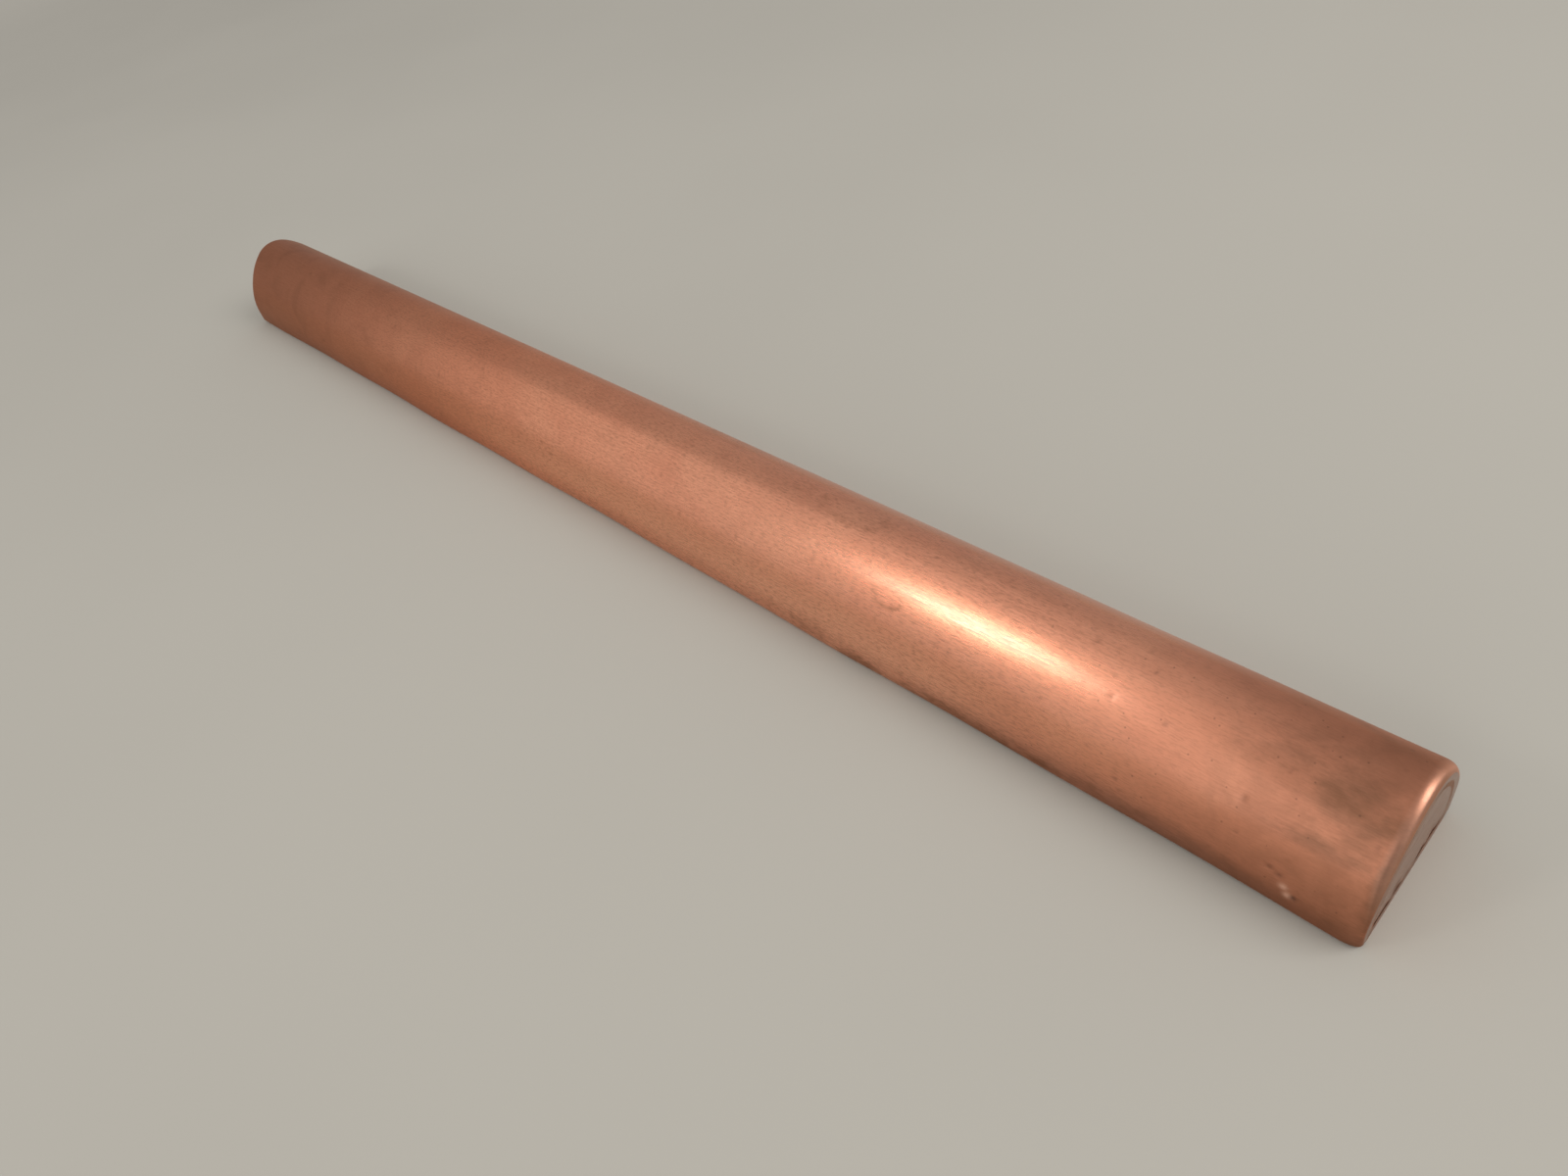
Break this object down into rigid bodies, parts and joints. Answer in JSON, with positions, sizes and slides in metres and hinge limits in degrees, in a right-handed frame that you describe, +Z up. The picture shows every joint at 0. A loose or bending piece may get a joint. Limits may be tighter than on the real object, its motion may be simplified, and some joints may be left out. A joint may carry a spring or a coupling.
{
  "type": "half-oval bar",
  "caption": "Long closed copper bar of half-oval section: an arched cover over a flat underside, with flat square ends whose arched rims are rounded over.",
  "frame": {"origin": "middle of the flat underside", "axes": "+X along the bar from the far end to the near end, +Y across it towards the rear, +Z up through the crown of the arch"},
  "size_m": [0.305, 0.0244, 0.0188],
  "materials": {
    "brushed_copper": "satin, brushed lengthwise, lightly tarnished",
    "rolled_copper": "dull rolled sheet, tarnished",
    "end_copper": "satin, filed flat",
    "inner_copper": "dull, unpolished",
    "brazing_metal": "dull, dressed flush"
  },
  "bodies": {
    "root": {"cover_shell": "brushed_copper", "base_strip": "rolled_copper", "vent_plug": "rolled_copper", "far_rib": "inner_copper", "far_middle_rib": "inner_copper", "middle_rib": "inner_copper", "near_middle_rib": "inner_copper", "near_rib": "inner_copper", "near_end_plate": "end_copper", "far_end_plate": "end_copper", "front_base_seam": "brazing_metal", "rear_base_seam": "brazing_metal", "near_end_seam": "brazing_metal", "far_end_seam": "brazing_metal"}
  },
  "joints": []
}
